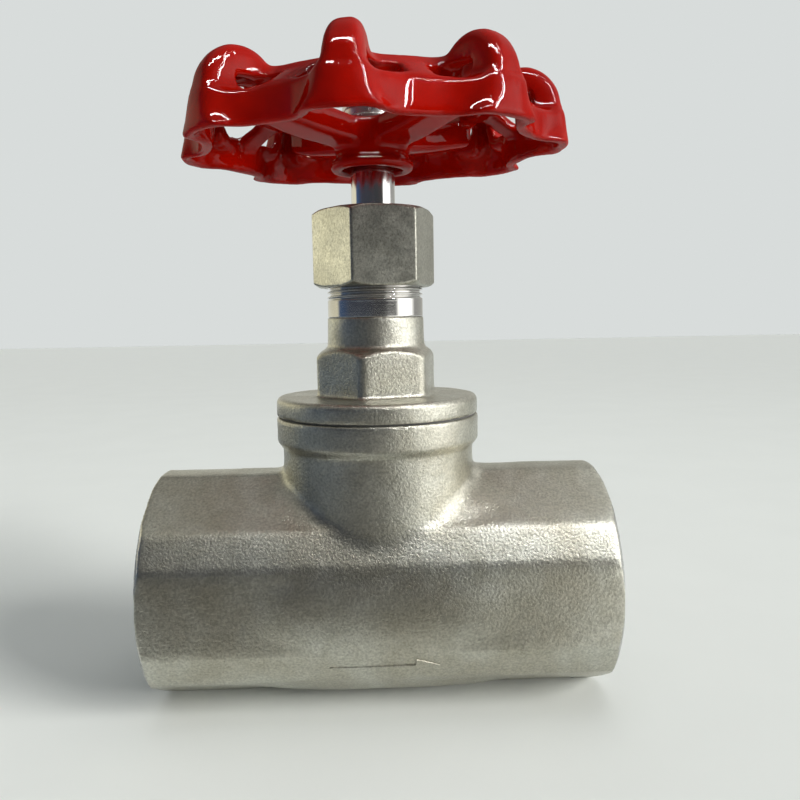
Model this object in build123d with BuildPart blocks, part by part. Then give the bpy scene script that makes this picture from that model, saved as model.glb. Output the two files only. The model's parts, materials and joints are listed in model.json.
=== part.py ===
"""Globe valve, 2 inch, screwed hexagonal ends, inside-screw rising stem, red handwheel.

Millimetres, +Z up. The pipe axis runs along X and the marked flow goes towards +X. The valve is
modelled shut. Every height below is measured from the pipe axis, and save() lifts the finished
pieces so that the origin is the middle of the underside, straight below the stem.
"""
from build123d import *
from math import cos, radians, sin
import os

os.makedirs("parts", exist_ok=True)

# ---- body casting ----
end_to_end = 140.0
hex_corner_radius = 35.8          # where a flat meets the bevel that replaces its corner
hex_flat_half_angle = 21.0        # half of the angle that one flat spans
hex_apothem = hex_corner_radius * cos(radians(hex_flat_half_angle))
bevel_apothem = hex_corner_radius * cos(radians(30 - hex_flat_half_angle))
end_chamfer_slope = 0.7           # axial depth of the end chamfer per millimetre of radius
globe_bulge_radius = 35.0
globe_bulge_half_length = 41.0
neck_radius = 30.2
collar_radius = 32.0
collar_taper_bottom = 43.2
collar_taper_top = 46.0
collar_top = 53.1
pipe_thread_radius = 28.3         # minor radius of a 2 inch pipe thread
pipe_thread_length = 25.0
thread_relief_length = 3.0
passage_radius = 25.0
neck_cavity_radius = 26.0
bridge_top = 2.0
bridge_bottom = -3.5
bridge_wall = 5.0
seat_orifice_radius = 19.0
seat_lip_radius = 21.0
seat_lip_top = 3.95
arrow_tail = -15.6                # the arrow's places are along X from the stem axis
arrow_neck = 9.4
arrow_tip = 16.6
arrow_width = 0.84
arrow_head_width = 6.3
arrow_rise = 0.7                  # height of its centre line above the middle of the bevel
arrow_relief = 0.45

# ---- bonnet ----
bonnet_thread_radius = 27.0
bonnet_spigot_bottom = 42.0
gasket_thickness = 0.5
gasket_outer_radius = 31.0
flange_bottom = collar_top + gasket_thickness
flange_top = 59.3
flange_radius = 31.9
bonnet_hex_flats = 34.5
bonnet_hex_top = 73.6
bonnet_hex_phase = 17.0           # turn of the hexagon about Z
bonnet_cone_top = 75.6
barrel_radius = 15.0
cast_barrel_radius = 15.2
barrel_band_bottom = 83.8         # where the casting ends and the turned band begins
barrel_thread_bottom = 89.7
barrel_top = 108.5
barrel_thread_pitch = 1.5
barrel_thread_depth = 0.9
stem_bore_radius = 8.3
backseat_height = 84.0
backseat_hole_radius = 7.2
box_bottom = 88.0                 # floor of the stuffing box
box_radius = 10.5
bonnet_recess_radius = 20.5
bonnet_recess_top = 49.0

# ---- packing set, gland and packing nut ----
ring_gap = 0.05                   # radial gap of the packing set at the stem and at its box
packing_v_height = 1.2
packing_washer_thickness = 1.5
packing_adapter_edge = 1.2
packing_ring_thickness = 2.6
packing_ring_count = 3
gland_bottom = 103.0
gland_flange_bottom = 109.7
gland_flange_radius = 13.5
gland_bore_radius = 7.1
packing_nut_bottom = 93.0
packing_nut_top = 116.6
packing_nut_web = 4.0
packing_nut_flats = 33.6
packing_nut_phase = 10.0
packing_nut_thread_radius = 15.15

# ---- stem ----
stem_radius = 6.8
stem_head_radius = 8.0
stem_head_bottom = 13.4
stem_head_top = 16.6
stem_neck_radius = 5.5
stem_thread_radius = 8.0
stem_thread_depth = 1.5
stem_thread_pitch = 3.0
stem_thread_bottom = 28.6
stem_shoulder = 70.2              # top of the thread, which the back seat stops
square_bottom = 132.5
square_top = 142.2
square_side = 9.5
stem_tip_radius = 5.0
stem_tip_pitch = 1.5
stem_top = 155.0

# ---- disc assembly ----
disc_seat_plane = 4.0
seat_disc_thickness = 3.0
seat_disc_outer = 21.5
seat_disc_inner = 4.6
carrier_radius = 23.5
carrier_rim_bottom = 5.2
carrier_plate_top = 13.0
carrier_boss_radius = 13.0
carrier_boss_top = 25.5
carrier_head_cup_radius = 9.0
carrier_head_cup_top = 17.4
carrier_thread_radius = 10.5
carrier_stud_radius = 4.0
carrier_stud_bottom = -5.0
disc_washer_radius = 10.0
disc_washer_thickness = 1.4
disc_nut_flats = 13.0
disc_nut_height = 6.0
swivel_nut_flats = 20.0
swivel_nut_top = 27.4

# ---- handwheel ----
wheel_bottom = 133.5              # lower edge of the skirt
lobe_count = 8
lobe_phase = 37.9                 # azimuth of one lobe, from +X
lobe_radius = 59.4
valley_radius = 51.5
skirt_wall = 3.4
skirt_top = 10.0
skirt_lean = 1.1                  # how much further in the skirt is at its top
wheel_ring_inner = 32.5
wheel_ring_outer = 37.0
wheel_ring_top = 18.0
wheel_web_thickness = 3.6
lobe_half_width = 5.4
lobe_wall = 3.0
lobe_peak = 24.5
strut_half_width = 3.8
window_inner = 38.5
window_outer = 47.0
window_width = 7.2
spoke_count = 4
spoke_width = 12.0
spoke_height = 8.0
spoke_rise = 4.5
spoke_low = 1.5                   # underside of a spoke at the hub, above the skirt edge
hub_bottom = 128.8
hub_radius = 11.2
hub_lip_radius = 12.8
hub_lip_thickness = 2.0
hub_recess_radius = 9.3
hub_recess_depth = 3.7
hub_top = 142.6
square_clearance = 0.1

# ---- wheel fasteners ----
wheel_washer_thickness = 1.5
wheel_washer_radius = 9.5
spring_washer_thickness = 2.2
spring_washer_radius = 8.3
spring_washer_slot = 1.6
wheel_nut_flats = 16.5
wheel_nut_height = 6.8
tip_clearance = 0.2


def save(piece, name):
    """Lift a finished piece onto its base, label it and write it as its own STEP file."""
    lifted = piece.moved(Location((0, 0, bevel_apothem)))
    lifted.label = name
    export_step(lifted, f"parts/{name}.step")


def ridged_edge(radius, depth, pitch, bottom, top):
    """Points up the outside of a screw thread drawn as closed ridges, in (radius, height)."""
    turns = int((top - bottom) / pitch)
    first = bottom + (top - bottom - turns * pitch) / 2
    points = [(radius - depth, bottom)]
    for turn in range(turns):
        root = first + turn * pitch
        points.append((radius - depth, root + 0.1 * pitch))
        points.append((radius, root + 0.4 * pitch))
        points.append((radius, root + 0.6 * pitch))
        points.append((radius - depth, root + 0.9 * pitch))
    points.append((radius - depth, top))
    return points


def turned(points):
    """Solid of revolution about Z of a closed outline in (radius, height)."""
    with BuildPart() as solid:
        with BuildSketch(Plane.XZ):
            with BuildLine():
                Polyline(*points, close=True)
            make_face()
        revolve(axis=Axis.Z)
    return solid.part


def flat_ring(inner, outer, bottom, top):
    """Plain washer between two heights."""
    with BuildPart() as ring:
        with BuildSketch(Plane.XY.offset(bottom)):
            Circle(outer)
            Circle(inner, mode=Mode.SUBTRACT)
        extrude(amount=top - bottom)
    return ring.part


def chamfer_cone(flats, bottom, top, both_ends=True):
    """Turned envelope that gives a hexagon its 30 degree corner chamfers."""
    inner = flats / 2
    outer = inner / cos(radians(30)) + 1
    drop = (outer - inner) * 0.55
    low = [(0, bottom), (inner, bottom), (outer, bottom + drop)] if both_ends else [(0, bottom), (outer, bottom)]
    return turned(low + [(outer, top - drop), (inner, top), (0, top)])


def hexagon_nut(flats, bottom, top, hole, phase=0.0, both_ends=True, corner=0.0):
    """Hexagonal nut with a plain hole and chamfered corners."""
    with BuildPart() as nut:
        with BuildSketch(Plane.XY.offset(bottom)):
            hexagon = RegularPolygon(flats / 2, 6, major_radius=False, rotation=phase)
            if corner:
                fillet(hexagon.vertices(), corner)
        extrude(amount=top - bottom)
        add(chamfer_cone(flats, bottom, top, both_ends), mode=Mode.INTERSECT)
        with BuildSketch(Plane.XY.offset(bottom)):
            Circle(hole)
        extrude(amount=top - bottom, mode=Mode.SUBTRACT)
    return nut.part


# ================= valve body =================
hex_outline = []
for side in range(6):
    for edge in (-hex_flat_half_angle, hex_flat_half_angle):
        angle = radians(60 * side + edge)
        hex_outline.append((-hex_corner_radius * cos(angle), hex_corner_radius * sin(angle)))

half_length = end_to_end / 2
chamfer_outer = hex_corner_radius + 2
chamfer_depth = (chamfer_outer - hex_apothem) * end_chamfer_slope
thread_inner_end = half_length - pipe_thread_length
relief_inner_end = thread_inner_end - thread_relief_length
wall_face = neck_cavity_radius + bridge_wall      # where each blind leg of the bridge starts

with BuildPart() as under_seat:
    with BuildSketch(Plane.XZ):
        with BuildLine():
            Polyline(
                (-relief_inner_end - 1, -passage_radius - 1),
                (-relief_inner_end - 1, passage_radius + 1),
                (-wall_face - 4, passage_radius + 1),
                (-wall_face + 4, bridge_bottom),
                (neck_cavity_radius - 4, bridge_bottom),
                (neck_cavity_radius + 4, -passage_radius - 1),
                close=True,
            )
        make_face()
    extrude(amount=passage_radius, both=True)
    with BuildSketch(Plane.YZ):
        Circle(passage_radius)
    extrude(amount=half_length, both=True, mode=Mode.INTERSECT)

with BuildPart() as over_seat:
    with BuildSketch(Plane.XZ):
        with BuildLine():
            Polyline(
                (relief_inner_end + 1, passage_radius + 1),
                (relief_inner_end + 1, -passage_radius - 1),
                (wall_face + 4, -passage_radius - 1),
                (wall_face - 3, bridge_top),
                (0, bridge_top),
                (0, passage_radius + 1),
                close=True,
            )
        make_face()
    extrude(amount=passage_radius, both=True)
    with BuildSketch(Plane.YZ):
        Circle(passage_radius)
    extrude(amount=half_length, both=True, mode=Mode.INTERSECT)
    with BuildSketch(Plane.XY.offset(bridge_top)):
        Circle(neck_cavity_radius)
    extrude(amount=collar_top - bridge_top)

with BuildPart() as flow_arrow:
    slope = radians(-30)
    lower_front_bevel = Plane(
        origin=(0, -bevel_apothem * cos(slope), bevel_apothem * sin(slope)),
        x_dir=(1, 0, 0),
        z_dir=(0, -cos(slope), sin(slope)),
    )
    with BuildSketch(lower_front_bevel):
        with Locations(((arrow_tail + arrow_neck) / 2, arrow_rise)):
            Rectangle(arrow_neck - arrow_tail, arrow_width)
        with BuildLine():
            Polyline(
                (arrow_neck, arrow_rise - arrow_head_width / 2),
                (arrow_tip, arrow_rise),
                (arrow_neck, arrow_rise + arrow_head_width / 2),
                close=True,
            )
        make_face()
    extrude(amount=arrow_relief)

with BuildPart() as body:
    with BuildSketch(Plane.YZ):
        with BuildLine():
            Polyline(*hex_outline, close=True)
        make_face()
    extrude(amount=half_length, both=True)
    with BuildSketch(Plane.XZ):
        with BuildLine():
            Polyline(
                (-half_length, 0),
                (-half_length, hex_apothem),
                (-half_length + chamfer_depth, chamfer_outer),
                (half_length - chamfer_depth, chamfer_outer),
                (half_length, hex_apothem),
                (half_length, 0),
                close=True,
            )
        make_face()
    revolve(axis=Axis.X, mode=Mode.INTERSECT)
    with BuildSketch(Plane.XZ):
        with BuildLine():
            ThreePointArc(
                (-globe_bulge_half_length, hex_apothem),
                (0, globe_bulge_radius),
                (globe_bulge_half_length, hex_apothem),
            )
            Polyline(
                (globe_bulge_half_length, hex_apothem),
                (globe_bulge_half_length, 0),
                (-globe_bulge_half_length, 0),
                (-globe_bulge_half_length, hex_apothem),
            )
        make_face()
    revolve(axis=Axis.X)
    add(turned([
        (0, 0),
        (neck_radius, 0),
        (neck_radius, collar_taper_bottom),
        (collar_radius, collar_taper_top),
        (collar_radius, collar_top),
        (0, collar_top),
    ]))
    add(under_seat.part, mode=Mode.SUBTRACT)
    add(over_seat.part, mode=Mode.SUBTRACT)
    with BuildSketch(Plane.XY.offset(bridge_top)):
        Circle(seat_lip_radius)
    extrude(amount=seat_lip_top - bridge_top)
    with BuildSketch(Plane.XY.offset(bridge_bottom - 1)):
        Circle(seat_orifice_radius)
    extrude(amount=seat_lip_top - bridge_bottom + 1, mode=Mode.SUBTRACT)
    with BuildSketch(Plane.XY.offset(bonnet_spigot_bottom - 1)):
        Circle(bonnet_thread_radius)
    extrude(amount=collar_top - bonnet_spigot_bottom + 1, mode=Mode.SUBTRACT)
    for end in (-1, 1):
        with BuildSketch(Plane.YZ.offset(end * half_length)):
            Circle(pipe_thread_radius)
        extrude(amount=-end * pipe_thread_length, mode=Mode.SUBTRACT)
        with BuildSketch(Plane.YZ.offset(end * thread_inner_end)):
            Circle(pipe_thread_radius + 0.6)
        extrude(amount=-end * thread_relief_length, mode=Mode.SUBTRACT)
    add(flow_arrow.part)
save(body.part, "body")

# ================= bonnet =================
bonnet_turned = turned(
    [
        (stem_bore_radius, bonnet_recess_top + 4),
        (bonnet_recess_radius, bonnet_recess_top),
        (bonnet_recess_radius, bonnet_spigot_bottom),
        (bonnet_thread_radius - 0.9, bonnet_spigot_bottom),
        (bonnet_thread_radius - 0.1, bonnet_spigot_bottom + 0.8),
        (bonnet_thread_radius - 0.1, flange_bottom),
        (flange_radius - 0.3, flange_bottom),
        (flange_radius, flange_bottom + 0.3),
        (flange_radius, flange_top - 0.6),
        (flange_radius - 0.6, flange_top),
        (cast_barrel_radius + 1.5, flange_top),
        (cast_barrel_radius + 1.5, bonnet_cone_top - 1.2),
        (cast_barrel_radius, bonnet_cone_top),
        (cast_barrel_radius, barrel_band_bottom),
        (barrel_radius, barrel_band_bottom + 0.2),
        (barrel_radius, barrel_thread_bottom),
    ]
    + ridged_edge(
        barrel_radius, barrel_thread_depth, barrel_thread_pitch, barrel_thread_bottom, barrel_top - 1
    )
    + [
        (barrel_radius - barrel_thread_depth - 0.8, barrel_top),
        (box_radius, barrel_top),
        (box_radius, box_bottom),
        (backseat_hole_radius, box_bottom),
        (backseat_hole_radius, backseat_height + 1.0),
        (stem_bore_radius, backseat_height),
    ]
)
bonnet_hex = hexagon_nut(
    bonnet_hex_flats, flange_top, bonnet_hex_top + 0.6, barrel_radius, bonnet_hex_phase,
    both_ends=False, corner=3.0,
)
with BuildPart() as bonnet:
    add(bonnet_turned)
    add(bonnet_hex)
save(bonnet.part, "bonnet")

save(flat_ring(bonnet_thread_radius + 0.2, gasket_outer_radius, collar_top, flange_bottom), "bonnet_gasket")

# ================= packing set =================
packing_inner = stem_radius + ring_gap
packing_outer = box_radius - ring_gap
packing_middle = (packing_inner + packing_outer) / 2
washer_top = box_bottom + packing_washer_thickness
save(flat_ring(stem_radius + 0.3, packing_outer, box_bottom, washer_top), "packing_support_washer")

stack = washer_top + packing_adapter_edge
save(
    turned([
        (packing_inner, washer_top),
        (packing_outer, washer_top),
        (packing_outer, stack),
        (packing_middle, stack + packing_v_height),
        (packing_inner, stack),
    ]),
    "packing_bottom_adapter",
)
for number in range(1, packing_ring_count + 1):
    ring_top = stack + packing_ring_thickness
    save(
        turned([
            (packing_inner, stack),
            (packing_middle, stack + packing_v_height),
            (packing_outer, stack),
            (packing_outer, ring_top),
            (packing_middle, ring_top + packing_v_height),
            (packing_inner, ring_top),
        ]),
        f"packing_ring_{number}",
    )
    stack = ring_top
save(
    turned([
        (packing_inner, stack),
        (packing_middle, stack + packing_v_height),
        (packing_outer, stack),
        (packing_outer, gland_bottom),
        (packing_inner, gland_bottom),
    ]),
    "packing_top_adapter",
)

nut_web_bottom = packing_nut_top - packing_nut_web
save(
    turned([
        (gland_bore_radius, gland_bottom),
        (packing_outer - 0.1, gland_bottom),
        (packing_outer - 0.1, gland_flange_bottom),
        (gland_flange_radius, gland_flange_bottom),
        (gland_flange_radius, nut_web_bottom),
        (gland_bore_radius, nut_web_bottom),
    ]),
    "packing_gland",
)

packing_nut_blank = hexagon_nut(
    packing_nut_flats, packing_nut_bottom, packing_nut_top, stem_radius + 0.5, packing_nut_phase, corner=0.8
)
with BuildPart() as packing_nut:
    add(packing_nut_blank)
    with BuildSketch(Plane.XY.offset(packing_nut_bottom)):
        Circle(packing_nut_thread_radius)
    extrude(amount=nut_web_bottom - packing_nut_bottom, mode=Mode.SUBTRACT)
save(packing_nut.part, "packing_nut")

# ================= stem =================
stem_turned = turned(
    [
        (0, stem_head_bottom),
        (stem_head_radius - 2.0, stem_head_bottom),
        (stem_head_radius, stem_head_bottom + 0.8),
        (stem_head_radius, stem_head_top),
        (stem_neck_radius, stem_head_top),
        (stem_neck_radius, stem_thread_bottom - 1.0),
    ]
    + ridged_edge(
        stem_thread_radius, stem_thread_depth, stem_thread_pitch, stem_thread_bottom, stem_shoulder - 2.0
    )
    + [
        (stem_thread_radius, stem_shoulder - 2.0),
        (stem_thread_radius, stem_shoulder - 0.8),
        (stem_radius, stem_shoulder),
        (stem_radius, square_bottom),
        (0, square_bottom),
    ]
)
stem_tip = turned(
    [(0, square_bottom), (stem_tip_radius - 0.8, square_bottom)]
    + ridged_edge(stem_tip_radius, 0.7, stem_tip_pitch, square_top, stem_top - 0.8)
    + [(stem_tip_radius - 1.3, stem_top), (0, stem_top)]
)
with BuildPart() as stem:
    add(stem_turned)
    with BuildSketch(Plane.XY.offset(square_bottom)):
        Rectangle(square_side, square_side)
    extrude(amount=square_top - square_bottom)
    add(stem_tip)
save(stem.part, "stem")

# ================= disc assembly =================
seat_disc_top = disc_seat_plane + seat_disc_thickness
save(
    turned([
        (0, carrier_stud_bottom),
        (carrier_stud_radius - 0.6, carrier_stud_bottom),
        (carrier_stud_radius, carrier_stud_bottom + 0.6),
        (carrier_stud_radius, seat_disc_top),
        (seat_disc_outer + ring_gap, seat_disc_top),
        (seat_disc_outer + ring_gap, carrier_rim_bottom),
        (carrier_radius - 0.5, carrier_rim_bottom),
        (carrier_radius, carrier_rim_bottom + 0.5),
        (carrier_radius, carrier_plate_top - 1.5),
        (carrier_radius - 1.5, carrier_plate_top),
        (carrier_boss_radius, carrier_plate_top),
        (carrier_boss_radius, carrier_boss_top - 0.8),
        (carrier_boss_radius - 0.8, carrier_boss_top),
        (carrier_thread_radius, carrier_boss_top),
        (carrier_thread_radius, carrier_head_cup_top),
        (carrier_head_cup_radius, carrier_head_cup_top),
        (carrier_head_cup_radius, carrier_plate_top + 0.1),
        (0, carrier_plate_top + 0.1),
    ]),
    "disc_carrier",
)
save(flat_ring(seat_disc_inner, seat_disc_outer, disc_seat_plane, seat_disc_top), "seat_disc")
disc_washer_bottom = disc_seat_plane - disc_washer_thickness
save(
    flat_ring(carrier_stud_radius + 0.2, disc_washer_radius, disc_washer_bottom, disc_seat_plane),
    "seat_disc_washer",
)
save(
    hexagon_nut(
        disc_nut_flats, disc_washer_bottom - disc_nut_height, disc_washer_bottom,
        carrier_stud_radius + ring_gap,
    ),
    "seat_disc_nut",
)
swivel_nut_hex = hexagon_nut(
    swivel_nut_flats, carrier_boss_top - 2.0, swivel_nut_top, stem_neck_radius + 0.4, both_ends=False
)
with BuildPart() as disc_swivel_nut:
    add(flat_ring(
        stem_neck_radius + 0.4, carrier_thread_radius - ring_gap, carrier_head_cup_top, carrier_boss_top
    ))
    add(swivel_nut_hex)
    with BuildSketch(Plane.XY.offset(carrier_boss_top - 2.1)):
        Circle(carrier_boss_radius)
        Circle(carrier_thread_radius - ring_gap, mode=Mode.SUBTRACT)
    extrude(amount=2.1, mode=Mode.SUBTRACT)
save(disc_swivel_nut.part, "disc_swivel_nut")

# ================= handwheel =================
lobe_step = 360 / lobe_count
valley_phase = lobe_phase + lobe_step / 2


def scalloped_outline(inset):
    """Closed wavy plan outline of the skirt, moved inwards by inset."""
    points = []
    samples = 6 * lobe_count
    for sample in range(samples):
        turn = 360 / samples * sample
        crest = (0.5 + 0.5 * cos(radians(lobe_count * turn))) ** 1.4
        radius = valley_radius + (lobe_radius - valley_radius) * crest - inset
        angle = radians(turn + lobe_phase)
        points.append((radius * cos(angle), radius * sin(angle)))
    return points


def lobe_profile(inset, foot):
    """Arch of one lobe in (radius, height): leaning outer edge, round crown, inner foot."""
    with BuildLine() as outline:
        crown = ThreePointArc(
            (lobe_radius - 3.6 - inset, wheel_bottom + 12),
            (lobe_radius - 16.5, wheel_bottom + lobe_peak - inset),
            (wheel_ring_inner + 1.6 + inset, wheel_bottom + wheel_ring_top - inset),
        )
        Polyline(
            crown @ 1,
            (wheel_ring_inner + 1.6 + inset, wheel_bottom + foot + 3),
            (wheel_ring_inner + 9, wheel_bottom + foot),
            (lobe_radius - inset, wheel_bottom + foot),
            crown @ 0,
        )
    return outline.line


def scalloped_blank(inset, height):
    """Solid inside the skirt, leaning inwards towards its top."""
    with BuildPart() as blank:
        for level, lean in ((0, 0), (height, skirt_lean * height / skirt_top)):
            with BuildSketch(Plane.XY.offset(wheel_bottom + level)):
                with BuildLine():
                    Spline(*scalloped_outline(inset + lean), periodic=True)
                make_face()
        loft()
    return blank.part


with BuildPart() as handwheel:
    add(scalloped_blank(0, skirt_top))
    add(turned([
        (0, wheel_bottom),
        (valley_radius - 2, wheel_bottom),
        (valley_radius - 2.2, wheel_bottom + skirt_top),
        (wheel_ring_outer + 1, wheel_bottom + wheel_ring_top - 0.4),
        (wheel_ring_outer - 1, wheel_bottom + wheel_ring_top),
        (0, wheel_bottom + wheel_ring_top),
    ]))
    for lobe in range(lobe_count):
        radial = Plane.XZ.rotated((0, 0, lobe_phase + lobe * lobe_step))
        with BuildSketch(radial):
            add(lobe_profile(0, 0))
            make_face()
        extrude(amount=lobe_half_width, both=True)
    add(scalloped_blank(skirt_wall, skirt_top - wheel_web_thickness), mode=Mode.SUBTRACT)
    add(turned([
        (0, wheel_bottom - 1),
        (valley_radius - 5, wheel_bottom - 1),
        (valley_radius - 5, wheel_bottom + skirt_top - wheel_web_thickness),
        (wheel_ring_outer - 1, wheel_bottom + wheel_ring_top - wheel_web_thickness),
        (wheel_ring_inner, wheel_bottom + wheel_ring_top - wheel_web_thickness),
        (wheel_ring_inner, wheel_bottom + wheel_ring_top + 2),
        (0, wheel_bottom + wheel_ring_top + 2),
    ]), mode=Mode.SUBTRACT)
    for lobe in range(lobe_count):
        radial = Plane.XZ.rotated((0, 0, lobe_phase + lobe * lobe_step))
        with BuildSketch(radial):
            add(lobe_profile(lobe_wall, -1))
            make_face()
        extrude(amount=lobe_half_width - lobe_wall, both=True, mode=Mode.SUBTRACT)
    for valley in range(lobe_count):
        middle = valley_phase + valley * lobe_step
        for side in (-1, 1):
            with BuildSketch(Plane.XY.offset(wheel_bottom + 4)):
                with Locations(Location((0, 0, 0), (0, 0, middle))):
                    with Locations((
                        (window_inner + window_outer) / 2,
                        side * (strut_half_width + window_width / 2),
                    )):
                        Rectangle(window_outer - window_inner, window_width)
            extrude(amount=wheel_ring_top, mode=Mode.SUBTRACT)
    for spoke in range(spoke_count):
        direction = lobe_phase + spoke * 360 / spoke_count
        radial = Plane.XZ.rotated((0, 0, direction))
        with BuildSketch(radial):
            with BuildLine():
                Polyline(
                    (hub_radius - 3, wheel_bottom + spoke_low),
                    (wheel_ring_outer, wheel_bottom + spoke_low + spoke_rise),
                    (wheel_ring_outer, wheel_bottom + spoke_low + spoke_rise + spoke_height),
                    (hub_radius - 3, wheel_bottom + spoke_low + spoke_height - 1),
                    close=True,
                )
            make_face()
        extrude(amount=spoke_width / 2, both=True)
    add(turned([
        (0, hub_bottom),
        (hub_lip_radius - 0.6, hub_bottom),
        (hub_lip_radius, hub_bottom + 0.6),
        (hub_lip_radius, hub_bottom + hub_lip_thickness),
        (hub_radius, hub_bottom + hub_lip_thickness + 1.5),
        (hub_radius, hub_top - 1),
        (hub_radius - 1, hub_top),
        (0, hub_top),
    ]))
    with BuildSketch(Plane.XY.offset(hub_bottom)):
        Circle(hub_recess_radius)
    extrude(amount=hub_recess_depth, mode=Mode.SUBTRACT)
    with BuildSketch(Plane.XY.offset(hub_bottom)):
        Rectangle(square_side + square_clearance, square_side + square_clearance)
    extrude(amount=hub_top - hub_bottom, mode=Mode.SUBTRACT)
save(handwheel.part, "handwheel")

# ================= wheel fasteners =================
washer_level = hub_top + wheel_washer_thickness
spring_level = washer_level + spring_washer_thickness
save(
    flat_ring(stem_tip_radius + tip_clearance, wheel_washer_radius, hub_top, washer_level), "wheel_washer"
)
with BuildPart() as wheel_spring_washer:
    add(flat_ring(stem_tip_radius + tip_clearance, spring_washer_radius, washer_level, spring_level))
    with BuildSketch(Plane.XY.offset(washer_level)):
        with Locations((0, spring_washer_radius)):
            Rectangle(spring_washer_slot, 2 * spring_washer_radius, rotation=20)
    extrude(amount=spring_washer_thickness, mode=Mode.SUBTRACT)
save(wheel_spring_washer.part, "wheel_spring_washer")
save(
    hexagon_nut(
        wheel_nut_flats, spring_level, spring_level + wheel_nut_height,
        stem_tip_radius + ring_gap, phase=12.0,
    ),
    "wheel_nut",
)
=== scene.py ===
"""Looks of a globe valve: castings from distance fields, turned parts from outlines, node materials."""

import json
import math

import bpy
import numpy as np
import openvdb
from mathutils import Matrix, Vector


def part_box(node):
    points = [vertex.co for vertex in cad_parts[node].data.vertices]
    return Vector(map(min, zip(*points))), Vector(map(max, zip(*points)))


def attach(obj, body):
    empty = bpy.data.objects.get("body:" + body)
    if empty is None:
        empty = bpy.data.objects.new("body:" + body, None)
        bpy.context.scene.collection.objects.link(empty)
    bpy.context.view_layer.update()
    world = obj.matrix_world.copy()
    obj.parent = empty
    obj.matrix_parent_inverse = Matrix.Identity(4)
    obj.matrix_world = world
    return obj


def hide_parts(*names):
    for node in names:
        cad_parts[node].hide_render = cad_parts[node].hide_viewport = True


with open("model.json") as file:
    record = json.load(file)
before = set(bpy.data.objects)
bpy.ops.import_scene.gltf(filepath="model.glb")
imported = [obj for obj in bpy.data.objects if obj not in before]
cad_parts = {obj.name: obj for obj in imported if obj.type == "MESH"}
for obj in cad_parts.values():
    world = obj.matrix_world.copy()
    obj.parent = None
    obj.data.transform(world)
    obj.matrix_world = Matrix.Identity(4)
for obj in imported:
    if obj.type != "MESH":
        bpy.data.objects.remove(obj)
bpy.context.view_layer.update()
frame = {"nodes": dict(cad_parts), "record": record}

MM = 0.001
PIPE_AXIS = frame["record"]["mounts"][0]["pos_m"][2] / MM    # its height above the base
UPRIGHT = Matrix.Translation((0, 0, PIPE_AXIS))              # raises what is drawn about the pipe axis
FILLET_STEPS = 3                                             # chords in an outline's fillet
SHADING_MARGIN = 0.12                                        # strip at each end of a long straight run


# ---------------------------------------------------------------- distance fields
class Grid:
    """A box of sample points in millimetres: stem axis at x = y = 0, heights from the pipe axis."""

    def __init__(self, low, high, step):
        self.low = np.array(low, np.float32)
        self.step = step
        axes = [np.arange(a, b + step, step, dtype=np.float32) for a, b in zip(low, high)]
        self.x, self.y, self.z = np.meshgrid(*axes, indexing="ij", sparse=True)
        self.shape = tuple(len(axis) for axis in axes)
        self.radius = np.hypot(self.x, self.y)


def join(a, b, blend):
    """Union of two fields with a fillet of about blend millimetres."""
    mix = np.clip(0.5 + 0.5 * (b - a) / blend, 0, 1)
    return b + (a - b) * mix - blend * mix * (1 - mix)


def keep(a, b, blend):
    """Intersection of two fields with its edge rounded."""
    return -join(-a, -b, blend)


def cut(a, b, blend):
    """Field a with field b taken away and the edge rounded."""
    return -join(-a, b, blend)


def slab(value, low, high):
    """Field of the layer between two values of one coordinate."""
    return np.maximum(low - value, value - high)


def half_plane(a, b, start, end):
    """Field that is negative to the left of the line from start to end in the plane (a, b)."""
    run, rise = end[0] - start[0], end[1] - start[1]
    length = math.hypot(run, rise)
    return ((a - start[0]) * rise - (b - start[1]) * run) / length


def hexagon(a, b, apothem, phase, blend):
    """Field of a hexagon in the plane (a, b) whose first flat faces the phase angle."""
    field = None
    for side in range(6):
        angle = math.radians(phase + 60 * side)
        flat = a * math.cos(angle) + b * math.sin(angle) - apothem
        field = flat if field is None else keep(field, flat, blend)
    return field


def ripple(grid, wavelength, height, seed):
    """Gentle unevenness of a casting: a few plane waves in fixed random directions."""
    dice = np.random.default_rng(seed)
    total = np.zeros(grid.shape, np.float32)
    waves = 5
    for _ in range(waves):
        way = dice.normal(size=3)
        way *= 2 * math.pi / wavelength / np.linalg.norm(way) * dice.uniform(0.7, 1.4)
        total += np.sin(way[0] * grid.x + way[1] * grid.y + way[2] * grid.z + dice.uniform(0, 6.3))
    return total * (height / waves)


# ---------------------------------------------------------------- meshes
def new_piece(name, points, faces, place=UPRIGHT):
    """Mesh object from points in millimetres, set in place and turned into metres."""
    mesh = bpy.data.meshes.new(name)
    mesh.from_pydata([tuple(p) for p in points], [], faces)
    mesh.transform(Matrix.Scale(MM, 4) @ place)
    mesh.validate()
    for face in mesh.polygons:
        face.use_smooth = True
    piece = bpy.data.objects.new(name, mesh)
    bpy.context.scene.collection.objects.link(piece)
    return piece


def apply_modifiers(piece):
    """Turns the piece's modifiers into its mesh."""
    graph = bpy.context.evaluated_depsgraph_get()
    mesh = bpy.data.meshes.new_from_object(piece.evaluated_get(graph))
    old = piece.data
    piece.modifiers.clear()
    piece.data = mesh
    bpy.data.meshes.remove(old)


def skin(grid, field, name, adaptivity=0.0, relax=0, place=UPRIGHT):
    """Mesh of a field's zero surface."""
    reach = 3 * grid.step
    volume = openvdb.FloatGrid(reach)
    volume.copyFromArray(np.clip(np.broadcast_to(field, grid.shape), -reach, reach).astype(np.float32))
    points, triangles, quads = volume.convertToPolygons(isovalue=0.0, adaptivity=adaptivity)
    piece = new_piece(name, points * grid.step + grid.low, quads.tolist() + triangles.tolist(), place)
    if relax:
        smoother = piece.modifiers.new("relax", "SMOOTH")
        smoother.factor = 0.5
        smoother.iterations = relax
        apply_modifiers(piece)
    return piece


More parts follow.
